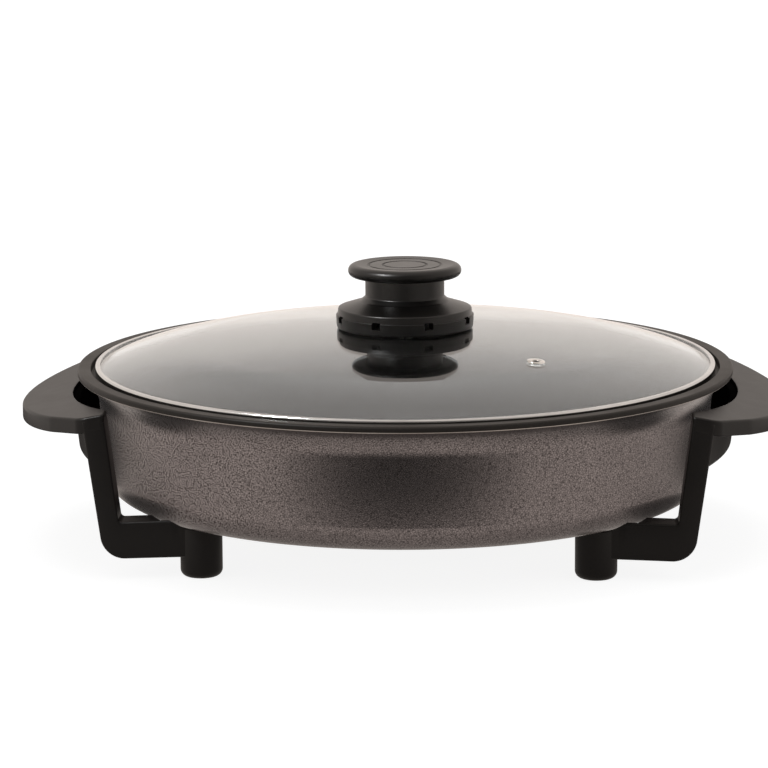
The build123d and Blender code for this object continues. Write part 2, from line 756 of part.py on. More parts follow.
def make_knob_cap():
    top_z = neck_top_z + cap_height
    dish_z = top_z - cap_dish
    groove_z = dish_z - groove_depth
    corners = [(0, dish_z, 0)]
    for middle in cap_grooves:
        corners.append((middle - groove_width / 2, dish_z, groove_width / 6))
        corners.append((middle - groove_width / 4, groove_z, groove_width / 8))
        corners.append((middle + groove_width / 4, groove_z, groove_width / 8))
        corners.append((middle + groove_width / 2, dish_z, groove_width / 6))
    edge_z = top_z - cap_slope
    plug_r = neck_bore_r - cap_fit
    plug_foot_z = neck_top_z - cap_skirt
    corners = corners + [
        (cap_plateau_r, top_z, cap_bend),
        (cap_r, edge_z, cap_edge_bend),
        (cap_r, edge_z - cap_edge, cap_edge_bend),
        (cap_r - cap_under_reach, neck_top_z, 0),
        (plug_r, neck_top_z, 0),
        (plug_r, plug_foot_z, edge_round),
        (plug_r - cap_skirt, plug_foot_z, edge_round),
        (plug_r - cap_skirt, neck_top_z + cap_skirt_rise, edge_round),
        (0, neck_top_z + cap_skirt_rise, 0),
    ]
    return turned(corners)


def write_all():
    handle = make_handle()
    pieces = {
        "pan": make_pan(),
        "heating_element": element_tube(),
        "terminal_pins": make_pins(),
        "pin_insulators": make_insulators(),
        "sensor_sleeve": make_sleeve(),
        "inlet_shroud": make_shroud(),
        "inlet_screws": make_inlet_screws(),
        "handle_right": handle,
        "handle_left": mirror(handle, about=Plane.YZ),
        "leg_screws": make_leg_screws(),
        "leg_washers": make_leg_washers(),
        "lid_glass": make_glass(),
        "lid_ring": make_ring(),
        "steam_eyelet": make_eyelet(),
        "lower_gasket": make_lower_gasket(),
        "upper_gasket": make_upper_gasket(),
        "knob_washer": make_knob_washer(),
        "knob_screw": make_knob_screw(),
        "knob_insert": make_insert(),
        "vent_ring": make_vent_ring(),
        "retaining_washer": make_retaining_washer(),
        "retaining_screw": make_retaining_screw(),
        "knob_body": make_knob_body(),
        "knob_cap": make_knob_cap(),
    }
    os.makedirs("parts", exist_ok=True)
    for name, piece in pieces.items():
        export_step(piece, f"parts/{name}.step")


write_all()
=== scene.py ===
import math

import bpy
import numpy as np
from mathutils import Matrix, Vector


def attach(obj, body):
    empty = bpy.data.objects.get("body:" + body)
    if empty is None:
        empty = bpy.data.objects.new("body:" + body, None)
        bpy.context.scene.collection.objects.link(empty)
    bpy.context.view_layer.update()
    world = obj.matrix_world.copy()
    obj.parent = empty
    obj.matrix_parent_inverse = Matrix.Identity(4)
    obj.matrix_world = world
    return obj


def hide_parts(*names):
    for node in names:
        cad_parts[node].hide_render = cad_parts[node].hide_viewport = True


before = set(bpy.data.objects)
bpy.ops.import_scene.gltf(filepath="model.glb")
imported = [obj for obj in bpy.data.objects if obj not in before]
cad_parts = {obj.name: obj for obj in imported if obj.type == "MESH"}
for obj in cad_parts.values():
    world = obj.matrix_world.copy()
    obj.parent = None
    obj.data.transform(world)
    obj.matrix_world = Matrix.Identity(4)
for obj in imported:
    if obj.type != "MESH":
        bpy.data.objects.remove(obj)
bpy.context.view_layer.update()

scene = bpy.context.scene
metresPerMm = 0.001
sharpAngle = math.radians(34)
weldDigits = 4  # points are one within a ten-thousandth of a millimetre
tolerance = 0.01  # in millimetres
ease = {"length": 0.12, "share": 0.3}  # for the points beside an arc
print("frame loaded:", len(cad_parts), "nodes")


# All surfaces are worked out in millimetres. An outline comes from corners (across, up, radius). At each
# corner an arc of that radius touches both sides: it starts radius * tan(turn / 2) before the corner.
# A point stands a little way along each side of an arc, so that flat sides shade flat.
def roundedOutline(corners, closed=True, arcSteps=7):
    places = np.array([corner[:2] for corner in corners], float)
    count = len(places)
    made = []
    for i, corner in enumerate(corners):
        radius = corner[2]
        atEnd = not closed and i in (0, count - 1)
        if radius == 0 or atEnd:
            made.append(places[i][None])
            continue
        before = places[i] - places[i - 1]
        after = places[(i + 1) % count] - places[i]
        lengthBefore, lengthAfter = np.linalg.norm(before), np.linalg.norm(after)
        before, after = before / lengthBefore, after / lengthAfter
        turn = math.atan2(before[0] * after[1] - before[1] * after[0], before @ after)
        reach = radius * math.tan(abs(turn) / 2)
        side = np.array([-before[1], before[0]]) * math.copysign(1, turn)
        centre = places[i] - before * reach + side * radius
        angles = np.linspace(0, turn, arcSteps + 1)
        spoke = -side * radius
        cosines, sines = np.cos(angles), np.sin(angles)
        across, up = spoke[0] * cosines - spoke[1] * sines, spoke[0] * sines + spoke[1] * cosines
        arc = centre + np.stack([across, up], 1)
        lead = min(ease["length"], ease["share"] * (lengthBefore - reach))
        tail = min(ease["length"], ease["share"] * (lengthAfter - reach))
        if lead > tolerance:
            made.append(arc[:1] - before * lead)
        made.append(arc)
        if tail > tolerance:
            made.append(arc[-1:] + after * tail)
    return np.concatenate(made)


# Extra points on an outline, so that no side is longer than step.
def splitSides(outline, step, closed=True):
    ends = np.roll(outline, -1, axis=0) if closed else outline[1:]
    made = []
    for start, end in zip(outline, ends):
        pieces = max(1, int(np.ceil(np.linalg.norm(end - start) / step)))
        made.append(start + (end - start) * (np.arange(pieces) / pieces)[:, None])
    if not closed:
        made.append(outline[-1:])
    return np.concatenate(made)


# A surface from a grid of points, shape (along, round, 3). Each cell is one face, and the rows close.
# Points that fall together, as at a pole or a seam, become one, and cells without area are dropped.
def gridShell(grid, closeAlong=True, keep=None):
    along, around = grid.shape[:2]
    numbers = np.arange(along * around).reshape(along, around)
    rows = numbers if closeAlong else numbers[:-1]
    nextRows = np.roll(numbers, -1, axis=0) if closeAlong else numbers[1:]
    cells = np.stack([rows, np.roll(rows, -1, 1), np.roll(nextRows, -1, 1), nextRows], -1)
    faces = cells.reshape(-1, 4)
    tags = np.repeat(np.arange(cells.shape[0]), cells.shape[1])
    if keep is not None:
        kept = keep.reshape(-1)
        faces, tags = faces[kept], tags[kept]
    return welded(grid.reshape(-1, 3), faces, tags)


# The points round a window of a grid: along its first row, up its last column, back along its last row
# and down its first column.
def windowBorder(grid, rows, columns):
    columns = columns % grid.shape[1]
    return np.concatenate([
        grid[rows[0], columns[:-1]], grid[rows[:-1], columns[-1]],
        grid[rows[-1], columns[:0:-1]], grid[rows[:0:-1], columns[0]],
    ])


# Makes one point of points that agree, and drops faces that are left with under three corners.
# Lids are faces with many corners, kept apart from the faces of four.
def welded(points, faces, tags, lids=()):
    rounded = np.round(points, weldDigits)
    _, first, inverse = np.unique(rounded, axis=0, return_index=True, return_inverse=True)
    numbers = inverse.reshape(-1)
    faces = numbers[faces]
    whole = (faces != np.roll(faces, 1, axis=1)).sum(1) >= 3
    lids = [numbers[lid] for lid in lids]
    return {"points": points[first], "faces": faces[whole], "tags": tags[whole], "lids": lids}


# Several surfaces as one, with touching edges welded.
def joined(shells):
    points, faces, tags, lids, start = [], [], [], [], 0
    for shell in shells:
        points.append(shell["points"])
        faces.append(shell["faces"] + start)
        tags.append(shell["tags"])
        lids += [lid + start for lid in shell["lids"]]
        start += len(shell["points"])
    return welded(np.concatenate(points), np.concatenate(faces), np.concatenate(tags), lids)


# Turns the faces outwards: the volume is the sum of the tetrahedra from the origin to each face,
# and it is positive when they point outwards.
def outward(shell):
    corners = shell["points"][shell["faces"]]
    a, b, c, d = corners[:, 0], corners[:, 1], corners[:, 2], corners[:, 3]
    volume = (np.cross(b, c) * a).sum() + (np.cross(c, d) * a).sum()
    if volume < 0:
        shell["faces"] = shell["faces"][:, ::-1]
    return shell


# The grid of an outline turned round +Z: (r, z) at angle t goes to (r cos t, r sin t, z).
def turnedGrid(outline, angles):
    radius, height = outline[:, 0][:, None], outline[:, 1][:, None]
    return np.stack([radius * np.cos(angles), radius * np.sin(angles), height + 0 * angles], -1)


def wholeTurn(steps):
    return np.arange(steps) * 2 * math.pi / steps


def lathe(outline, steps, closeAlong=False):
    return outward(gridShell(turnedGrid(outline, wholeTurn(steps)), closeAlong=closeAlong))


# How far each point of an edge's quarter circle is drawn in, and how far it lies above the first.
def roundedEdge(radius, count):
    turn = np.linspace(0, math.pi / 2, count)
    return radius * (1 - np.sin(turn)), radius * (1 - np.cos(turn))


def moved(shell, offset):
    return {**shell, "points": shell["points"] + np.array(offset, float)}


# Mirror image in the YZ plane. The faces are turned round too, so they still point outwards.
def mirroredX(shell):
    lids = [lid[::-1] for lid in shell["lids"]]
    return {**shell, "points": shell["points"] * [-1, 1, 1], "faces": shell["faces"][:, ::-1], "lids": lids}


# Puts a surface into a mesh piece that rides on a body and takes the place of a CAD node.
# Where tagMaterial is given, it turns the faces' tags into material numbers.
def addPiece(name, shell, materials, body, node, tagMaterial=None):
    mesh = bpy.data.meshes.new(name)
    faces = shell["faces"]
    same = faces == np.roll(faces, -1, axis=1)
    triangles = same.any(1)
    loops = [face[~repeat] if three else face for face, repeat, three in zip(faces, same, triangles)]
    loops += shell["lids"]
    mesh.from_pydata((shell["points"] * metresPerMm).tolist(), [], [loop.tolist() for loop in loops])
    for material in materials:
        mesh.materials.append(material)
    if tagMaterial is not None:
        numbers = np.zeros(len(mesh.polygons), np.int32)
        numbers[: len(faces)] = tagMaterial(shell["tags"])
        mesh.polygons.foreach_set("material_index", numbers)
    mesh.update()
    mesh.shade_smooth()
    mesh.set_sharp_from_angle(angle=sharpAngle)
    piece = bpy.data.objects.new(name, mesh)
    scene.collection.objects.link(piece)
    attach(piece, body)
    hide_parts(node)
    return piece


# A colour given as it looks on a screen, 0 to 255, as the linear value that a shader takes.
def paint(red, green, blue):
    share = np.array([red, green, blue]) / 255
    linear = np.where(share <= 0.04045, share / 12.92, ((share + 0.055) / 1.055) ** 2.4)
    return (*[float(value) for value in linear], 1.0)


# A new material, with its tree, its shader and the object coordinates.
def startMaterial(name):
    made = bpy.data.materials.new(name)
    made.use_nodes = True
    tree = made.node_tree
    shader = tree.nodes["Principled BSDF"]
    place = addNode(tree, "TexCoord").outputs["Object"]
    return made, tree, shader, place


# Gives a node's inputs their values: a number, a colour or the output of another node.
def feed(tree, node, inputs):
    for name, value in inputs.items():
        if isinstance(value, bpy.types.NodeSocket):
            tree.links.new(value, node.inputs[name])
        else:
            node.inputs[name].default_value = value
    return node


def addNode(tree, kind, inputs={}, **settings):
    node = tree.nodes.new("ShaderNode" + kind)
    for name, value in settings.items():
        setattr(node, name, value)
    return feed(tree, node, inputs)


def maths(tree, operation, *values):
    return addNode(tree, "Math", dict(enumerate(values)), operation=operation).outputs[0]


# Goes from low to high while value goes from start to end.
def mapRange(tree, value, start, end, low, high, interpolation="SMOOTHSTEP"):
    inputs = {"Value": value, "From Min": start, "From Max": end, "To Min": low, "To Max": high}
    return addNode(tree, "MapRange", inputs, interpolation_type=interpolation).outputs[0]


# Noise whose features are about as large as size, in metres.
def noise(tree, place, size, detail=3.0, rough=0.5, twist=0.0):
    inputs = {"Vector": place, "Scale": 1 / size, "Detail": detail, "Roughness": rough, "Distortion": twist}
    return addNode(tree, "TexNoise", inputs).outputs["Fac"]


# A colour for each share, from stops of (share, colour or grey value).
def ramp(tree, share, stops):
    node = addNode(tree, "ValToRGB", {"Fac": share})
    elements = node.color_ramp.elements
    while len(elements) < len(stops):
        elements.new(0.5)
    for element, (position, colour) in zip(elements, stops):
        element.position = position
        element.color = colour if isinstance(colour, tuple) else (colour, colour, colour, 1)
    return node.outputs["Color"]


# From low to high over the middle of a noise, where most of its values lie.
def spread(tree, share, low, high, band=0.2):
    return ramp(tree, share, [(0.5 - band, low), (0.5 + band, high)])


def mixColour(tree, share, first, second, blend="MIX"):
    inputs = {0: share, 6: first, 7: second}
    return addNode(tree, "Mix", inputs, data_type="RGBA", blend_type=blend).outputs[2]


def bump(tree, height, strength, distance):
    inputs = {"Height": height, "Strength": strength, "Distance": distance}
    return addNode(tree, "Bump", inputs).outputs["Normal"]


def connect(tree, shader, **inputs):
    feed(tree, shader, {name.replace("_", " "): value for name, value in inputs.items()})


# Hammered enamel: small rounded flakes with dark winding valleys between them, and larger darker patches.
def hammeredEnamel():
    f = {
        "cell": 0.0011, "worm": 0.00085, "patch": 0.05, "warpSize": 0.0016, "warp": 0.0006,
        "cellShare": 0.9, "wormShare": 0.55, "valleyAt": 0.24, "slopeAt": 0.36, "peakAt": 0.62,
        "peak": paint(144, 137, 137), "slope": paint(117, 111, 111), "valley": paint(69, 65, 65),
        "roughValley": 0.31, "roughPeak": 0.19, "patchShade": 0.88, "metallic": 0.92,
        "relief": (0.24, 0.00022),
    }
    made, tree, shader, place = startMaterial("hammeredEnamel")
    inputs = {"Vector": place, "Scale": 1 / f["warpSize"], "Detail": 2.0}
    warp = addNode(tree, "TexNoise", inputs).outputs["Color"]
    inputs = {0: warp, "Scale": f["warp"]}
    bend = addNode(tree, "VectorMath", inputs, operation="SCALE").outputs[0]
    warped = addNode(tree, "VectorMath", {0: place, 1: bend}).outputs[0]
    inputs = {"Vector": warped, "Scale": 1 / f["cell"]}
    cells = addNode(tree, "TexVoronoi", inputs, feature="DISTANCE_TO_EDGE").outputs["Distance"]
    worms = noise(tree, place, f["worm"], 2.5, 0.6)
    flakes = maths(tree, "MULTIPLY", cells, f["cellShare"])
    relief = maths(tree, "MULTIPLY_ADD", worms, f["wormShare"], flakes)
    patches = noise(tree, place, f["patch"], 2.0)
    stops = [(f[level + "At"], f[level]) for level in ("valley", "slope", "peak")]
    colour = ramp(tree, relief, stops)
    shade = spread(tree, patches, f["patchShade"], 1.0)
    colour = mixColour(tree, 1.0, colour, shade, "MULTIPLY")
    gloss = ramp(tree, relief, [(f["valleyAt"], f["roughValley"]), (0.6, f["roughPeak"])])
    connect(
        tree, shader, Base_Color=colour, Metallic=f["metallic"], Roughness=gloss,
        Normal=bump(tree, relief, *f["relief"]),
    )
    return made


# Colour goes from dark to light over one noise, roughness from smooth to rough over a second, and a third
# lifts the skin. A kind's noises are (size, detail, roughness, twist).
def plain(name, kind, dark, light, roughness, shine=0.5):
    made, tree, shader, place = startMaterial(name)
    tone, gloss, skin = [noise(tree, place, *kind[use]) for use in ("tone", "gloss", "skin")]
    smooth, rough = kind["vary"]
    connect(
        tree, shader, Base_Color=spread(tree, tone, paint(*dark), paint(*light), kind["band"]),
        Roughness=spread(tree, gloss, roughness + smooth, roughness + rough), Metallic=kind["metallic"],
        Specular_IOR_Level=shine, Normal=bump(tree, skin, *kind["relief"]),
    )
    return made


# Clear tempered glass. Its skin is very slightly uneven and a little less polished in places.
def clearGlass():
    f = {
        "ripple": 0.06, "film": 0.012, "darker": (0.93, 0.95, 0.945, 1), "clearer": (0.95, 0.965, 0.96, 1),
        "polished": 0.004, "duller": 0.02, "index": 1.5, "relief": (0.02, 0.0004),
    }
    made, tree, shader, place = startMaterial("clearGlass")
    ripple = noise(tree, place, f["ripple"], 1.0)
    film = noise(tree, place, f["film"], 3.0)
    tint = spread(tree, film, f["darker"], f["clearer"])
    gloss = spread(tree, film, f["polished"], f["duller"])
    connect(
        tree, shader, Base_Color=tint, Roughness=gloss, Transmission_Weight=1.0, IOR=f["index"],
        Normal=bump(tree, ripple, *f["relief"]),
    )
    return made


# A coat with a very fine grain, a moulding with a faint flow and fine pits, metal with marks of polishing,
# and a matt body with a soft mottle.
coat = {
    "tone": (0.0006, 4.0, 0.6), "band": 0.15, "gloss": (0.03, 2.0), "vary": (-0.05, 0.05), "metallic": 0.0,
    "skin": (0.0006, 4.0, 0.6), "relief": (0.25, 0.00012),
}
moulding = {
    "tone": (0.018, 3.0, 0.6, 0.6), "band": 0.2, "gloss": (0.018, 3.0, 0.6, 0.6), "vary": (-0.01, 0.02),
    "metallic": 0.0, "skin": (0.0009, 3.0, 0.55), "relief": (0.18, 0.0001),
}
metal = {
    "tone": (0.02, 2.0), "band": 0.2, "gloss": (0.0012, 4.0, 0.6), "vary": (0.0, 0.05), "metallic": 1.0,
    "skin": (0.0012, 4.0, 0.6), "relief": (0.06, 0.00005),
}
matt = {
    "tone": (0.004, 3.0), "band": 0.2, "gloss": (0.004, 3.0), "vary": (-0.05, 0.05), "metallic": 0.0,
    "skin": (0.004, 3.0), "relief": (0.1, 0.0002),
}
enamel = hammeredEnamel()
rimCoat = plain("rimCoat", coat, (46, 42, 39), (55, 51, 47), 0.48, 0.12)
insideCoat = plain("insideCoat", coat, (20, 19, 19), (30, 28, 28), 0.5, 0.3)
# Light bare metal for the strip under the rim; part of its lightness is a painted highlight.
bareEdgeHighlight = plain("bareEdgeHighlight", metal, (168, 160, 154), (196, 190, 184), 0.3)
legPhenolic = plain("legPhenolic", moulding, (17, 15, 14), (22, 19, 17), 0.42, 0.2)
# Painted shade: a darker, duller moulding for the handle faces in the shadowed gap beside the pan.
paintedShadePhenolic = plain("paintedShadePhenolic", moulding, (9, 8, 8), (14, 12, 11), 0.7, 0.0)
knobPhenolic = plain("knobPhenolic", moulding, (16, 15, 14), (22, 20, 18), 0.33, 0.33)
shroudPhenolic = plain("shroudPhenolic", moulding, (20, 19, 19), (30, 28, 27), 0.5)
ringSteel = plain("ringSteel", metal, (186, 187, 187), (200, 201, 201), 0.14)
eyeletSteel = plain("eyeletSteel", metal, (205, 203, 200), (226, 225, 222), 0.12)
tubeSteel = plain("tubeSteel", metal, (112, 100, 92), (150, 142, 134), 0.35)
screwSteel = plain("screwSteel", metal, (180, 178, 172), (205, 205, 203), 0.28)
pinNickel = plain("pinNickel", metal, (196, 190, 180), (220, 214, 204), 0.18)
sleeveMetal = plain("sleeveMetal", metal, (190, 190, 192), (212, 212, 214), 0.3)
turnedBrass = plain("turnedBrass", metal, (184, 150, 88), (214, 178, 108), 0.25)
glazedCeramic = plain("glazedCeramic", matt, (216, 210, 198), (234, 229, 219), 0.25)
silicone = plain("silicone", matt, (30, 30, 31), (42, 42, 43), 0.6)
lidGlass = clearGlass()
print("materials ready")


pan = {
    "floorUnder": 24.9, "floorTop": 29.5, "wallFoot": 156.0, "wallTop": 158.3, "wall": 4.1,
    "footBend": 14.0, "floorBend": 11.9, "flareFoot": 80.8, "flareBend": 18.0, "rimUnder": 86.9,
    "rimTop": 90.2, "rimOuter": 169.0, "rimFlat": 1.8, "rimRound": 1.3, "edgeRound": 0.6,
    "seat": 86.2, "seatOuter": 162.2, "steps": 384, "bendSteps": 10, "rowHeight": 9.0,
}
heater = {
    "loop": 85.0, "ridgeWidth": 16.0, "ridgeFoot": 12.4, "ridgeRound": 3.0, "sink": 1.0,
    "blockHalf": 18.0, "blockStart": 78.0, "blockEnd": 138.0, "blockRound": 4.0, "blockEdge": 1.0,
    "bossRadius": 6.0, "bossFoot": 17.2, "bossRound": 0.6,
    "lugX": 25.5, "lugY": 134.25, "lugRadius": 5.0, "lugFoot": 21.9,
    "ridgeSteps": 192, "bossSteps": 48, "lugSteps": 40,
}


# The casting's section, from the middle of the underside round the rim to the middle of the floor.
def panOutline():
    p = pan
    rim, edge = p["rimOuter"], p["edgeRound"]
    corners = [
        (0, p["floorUnder"], 0), (p["wallFoot"], p["floorUnder"], p["footBend"]),
        (p["wallTop"], p["flareFoot"], p["flareBend"]), (rim - p["rimFlat"], p["rimUnder"], edge),
        (rim, p["rimUnder"], edge), (rim, p["rimTop"], p["rimRound"]),
        (p["seatOuter"], p["rimTop"], edge), (p["seatOuter"], p["seat"], edge),
        (p["wallTop"] - p["wall"], p["seat"], edge),
        (p["wallFoot"] - p["wall"], p["floorTop"], p["floorBend"]), (0, p["floorTop"], 0),
    ]
    outline = roundedOutline(corners, closed=False, arcSteps=p["bendSteps"])
    return splitSides(outline, p["rowHeight"], closed=False)


# Enamel outside, a light bare-metal strip on the rounding under the rim that also stands in for the
# highlight there (painted highlight), the rim's coat down to the seat, then the inside coat.
def makePan():
    p = pan
    outline = panOutline()
    shell = lathe(outline, p["steps"])
    beyond = outline[:, 0] > p["rimOuter"] - p["rimFlat"] - 1
    underRim = beyond & (outline[:, 1] < p["rimUnder"] + p["edgeRound"])
    stripStarts, stripEnds = np.flatnonzero(underRim)[[0, -1]]
    coated = np.where(outline[:, 0] > p["seatOuter"] - 1, 1, 2)
    numbers = np.where(np.arange(len(outline)) < stripStarts, 0, coated)
    numbers[stripStarts:stripEnds] = 3
    addPiece(
        "panShell", shell, [enamel, rimCoat, insideCoat, bareEdgeHighlight], "cooker_base", "pan",
        lambda tags: numbers[tags],
    )


# A block with rounded upright corners and a rounded foot: its plan outline carried up to the top.
def roundedBlock(low, high, radius, edge):
    sides = ((low[0], low[1]), (high[0], low[1]), (high[0], high[1]), (low[0], high[1]))
    outline = roundedOutline([(x, y, radius) for x, y in sides])
    middle = np.array([(low[0] + high[0]) / 2, (low[1] + high[1]) / 2])
    drawnIn, lifted = roundedEdge(edge, 5)
    size = np.array([high[0] - low[0], high[1] - low[1]]) / 2
    rings = [middle + (outline - middle) * (1 - inset / size) for inset in [*drawnIn, 0.0]]
    heights = [*(low[2] + lifted), high[2]]
    rows = [np.column_stack([ring, np.full(len(ring), height)]) for ring, height in zip(rings, heights)]
    foot, top = [np.tile([*middle, height], (len(outline), 1)) for height in (low[2], high[2])]
    return outward(gridShell(np.stack([foot, *rows, top]), closeAlong=False))


# Under the floor: the ridge round the element, the block at the inlet, a boss over each foot and two lugs
# for the inlet's screws. All reach a little way into the floor.
def makeHeaterCastings():
    h = heater
    inner, outer = h["loop"] - h["ridgeWidth"] / 2, h["loop"] + h["ridgeWidth"] / 2
    foot, bend, top = h["ridgeFoot"], h["ridgeRound"], pan["floorUnder"] + h["sink"]

    def stud(place, radius, studFoot, edge, steps):
        corners = [(0, studFoot, 0), (radius, studFoot, edge), (radius, top, 0), (0, top, 0)]
        return moved(lathe(roundedOutline(corners, closed=False), steps), (*place, 0))

    ridge = [(inner, top, 0), (inner, foot, bend), (outer, foot, bend), (outer, top, 0)]
    shells = [lathe(roundedOutline(ridge), h["ridgeSteps"], closeAlong=True)]
    low, high = (-h["blockHalf"], h["blockStart"], foot), (h["blockHalf"], h["blockEnd"], top)
    shells.append(roundedBlock(low, high, h["blockRound"], h["blockEdge"]))
    for place in legPlaces():
        shells.append(stud(place, h["bossRadius"], h["bossFoot"], h["bossRound"], h["bossSteps"]))
    for side in (-1, 1):
        shells.append(stud((side * h["lugX"], h["lugY"]), h["lugRadius"], h["lugFoot"], 0, h["lugSteps"]))
    addPiece("heaterCastings", joined(shells), [enamel], "cooker_base", "pan")


handle = {
    "plateInner": 171.0, "tip": 198.0, "plateTop": 77.4, "slope": 0.2, "thick": 8.0, "edge": 1.3,
    "lidInset": 0.4, "corner": 9.0, "backCorner": 1.9, "endX": 156.33, "backX": 144.1,
    "arcPoints": 73, "arcTrim": 9, "innerPoints": 81, "cornerSteps": 14, "plateFace": 2.5,
    "apronFoot": 51.5, "apronX": 168.4, "apronBend": 209.0, "apronWall": 3.4, "apronLean": 2.8,
    "apronRound": 1.4, "apronSink": 2.0, "apronLap": 2.0, "apronFace": 3.0, "apronPoints": 97,
    "frameY": 96.5, "frameThick": 15.0, "frameEdge": 1.2,
    "footOuter": 145.6, "footInner": 137.9, "topOuter": 155.2, "topInner": 144.1, "topZ": 78.5,
    "proud": 0.05, "barUnder": 9.4, "barHeight": 19.0, "barRise": 1.6, "cornerOuter": 12.0,
    "cornerInner": 2.0, "frameSteps": 24, "bendSteps": 20, "clearance": 0.4,
    "pillarX": 97.7, "pillarRadius": 10.5, "pillarEdge": 3.8, "bore": 5.7, "boreDepth": 8.0,
    "boreRound": 0.5, "pillarGap": 0.02, "pillarFace": 4.0, "pillarSteps": 96,
}


# Where the four pillars stand.
def legPlaces():
    return [(sx * handle["pillarX"], sy * handle["frameY"]) for sx in (-1, 1) for sy in (-1, 1)]


# Height of the plate's upper face, which falls outwards.
def plateHeight(x):
    return handle["plateTop"] - handle["slope"] * (x - handle["plateInner"])


# The plate in plan, counterclockwise: one arc through the tip with rounded ends, then along the leg frames'
# inner side and round the pan on a larger circle.
def plateOutline():
    h = handle
    half = h["frameY"] + h["frameThick"] / 2 + h["proud"]
    rise = h["tip"] - h["endX"]
    radius = (half**2 + rise**2) / (2 * rise)
    reach = math.asin(half / radius)
    angles = np.linspace(-reach, reach, h["arcPoints"])[h["arcTrim"]:-h["arcTrim"]]
    outer = np.column_stack([h["tip"] - radius + radius * np.cos(angles), radius * np.sin(angles)])
    turn = math.acos(h["backX"] / h["plateInner"])
    innerAngles = np.linspace(turn, -turn, h["innerPoints"])
    inner = h["plateInner"] * np.column_stack([np.cos(innerAngles), np.sin(innerAngles)])
    corners = [(h["backX"], -half, h["backCorner"]), (h["endX"], -half, h["corner"])]
    corners += [(x, y, 0) for x, y in outer]
    corners += [(h["endX"], half, h["corner"]), (h["backX"], half, h["backCorner"])]
    corners += [(x, y, 0) for x, y in inner]
    return splitSides(roundedOutline(corners, arcSteps=h["cornerSteps"]), h["plateFace"])


# The plate: its outline is drawn in by a quarter circle at the lower and at the upper edge, a point's
# height follows the slope, and flat lids close top and underside. Faces on the pan's side get tag 1:
# painted shade.
def makePlate():
    h = handle
    outline = plateOutline()
    steps = np.roll(outline, -1, axis=0) - np.roll(outline, 1, axis=0)
    normals = np.column_stack([steps[:, 1], -steps[:, 0]])
    normals /= np.linalg.norm(normals, axis=1)[:, None]
    edge, thick = h["edge"], h["thick"]
    drawnIn, lifted = roundedEdge(edge, 7)
    last = [edge + h["lidInset"]]
    insets = np.concatenate([last, drawnIn, lifted, last])
    drops = np.concatenate([[thick], thick - lifted, drawnIn, [0]])
    plan = outline[None] - normals[None] * insets[:, None, None]
    heights = plateHeight(plan[..., 0]) - drops[:, None]
    grid = np.concatenate([plan, heights[..., None]], -1)
    shell = outward(gridShell(grid, closeAlong=False))
    count = len(outline)
    middles = shell["points"][shell["faces"]].mean(1)
    # Tag 1 marks the faces that get the painted shade.
    shell["tags"] = (np.hypot(middles[:, 0], middles[:, 1]) < h["plateInner"] + 0.5 * edge).astype(int)
    lids = [np.arange(count)[::-1], np.arange(count) + count]
    noFaces = {"faces": np.zeros((0, 4), int), "tags": np.zeros(0, int)}
    return joined([shell, {"points": np.concatenate([grid[0], grid[-1]]), "lids": lids, **noFaces}])


# Closes both ends of a tube-like grid with a fan to the middle of its first and last rows.
def closedEnds(shell, grid):
    caps = []
    for row, order in ((grid[0], 1), (grid[-1], -1)):
        middle = np.tile(row.mean(0), (len(row), 1))
        pair = np.stack([middle, row] if order > 0 else [row, middle])
        fan = gridShell(pair, closeAlong=False)
        caps.append({**fan, "tags": 0 * fan["tags"]})
    return joined([shell, *caps])


# The apron: a band with a rounded foot, carried round an arc from one leg frame to the other.
# Its inner face and its top get tag 1: a darker colour, painted shade for the shadowed gap under the rim.
def makeApron():
    h = handle
    top = h["plateTop"] - h["apronSink"]
    rise = top - h["apronFoot"]
    lean = h["apronLean"] / (h["plateTop"] - h["apronFoot"])
    radius, wall = h["apronBend"], h["apronWall"]
    corners = [
        (radius + lean * rise - wall, top, 0), (radius - wall, h["apronFoot"], h["apronRound"]),
        (radius, h["apronFoot"], h["apronRound"]), (radius + lean * rise, top, 0),
    ]
    outline = splitSides(roundedOutline(corners), h["apronFace"])
    centre = h["apronX"] - radius
    half = h["frameY"] - h["frameThick"] / 2 + h["apronLap"]
    reach = math.asin(half / radius)
    angles = np.linspace(-reach, reach, h["apronPoints"])[:, None]
    radii, height = outline[:, 0], outline[:, 1] + 0 * angles
    grid = np.stack([centre + radii * np.cos(angles), radii * np.sin(angles), height], -1)
    shell = gridShell(grid, closeAlong=False)
    middles = shell["points"][shell["faces"]].mean(1)
    face = np.hypot(middles[:, 0] - centre, middles[:, 1]) - lean * (middles[:, 2] - h["apronFoot"])
    # Tag 1 marks the inner face and the ledge, which get the painted shade.
    ledge = middles[:, 2] > top - tolerance
    shell["tags"] = ((face < radius - 0.8 * wall) | ledge).astype(int)
    return outward(closedEnds(shell, grid))


# Height of the pan's outside over a point, less the clearance: flat, then the foot bend, then no limit.
def panUnderside(distance):
    bendFoot = pan["wallFoot"] - pan["footBend"]
    reach = np.clip(distance - bendFoot, 0, pan["footBend"] - tolerance)
    rise = pan["footBend"] - np.sqrt(pan["footBend"] ** 2 - reach**2)
    under = pan["floorUnder"] + rise - handle["clearance"] * (distance > bendFoot)
    return np.where(distance < pan["wallFoot"], under, np.inf)


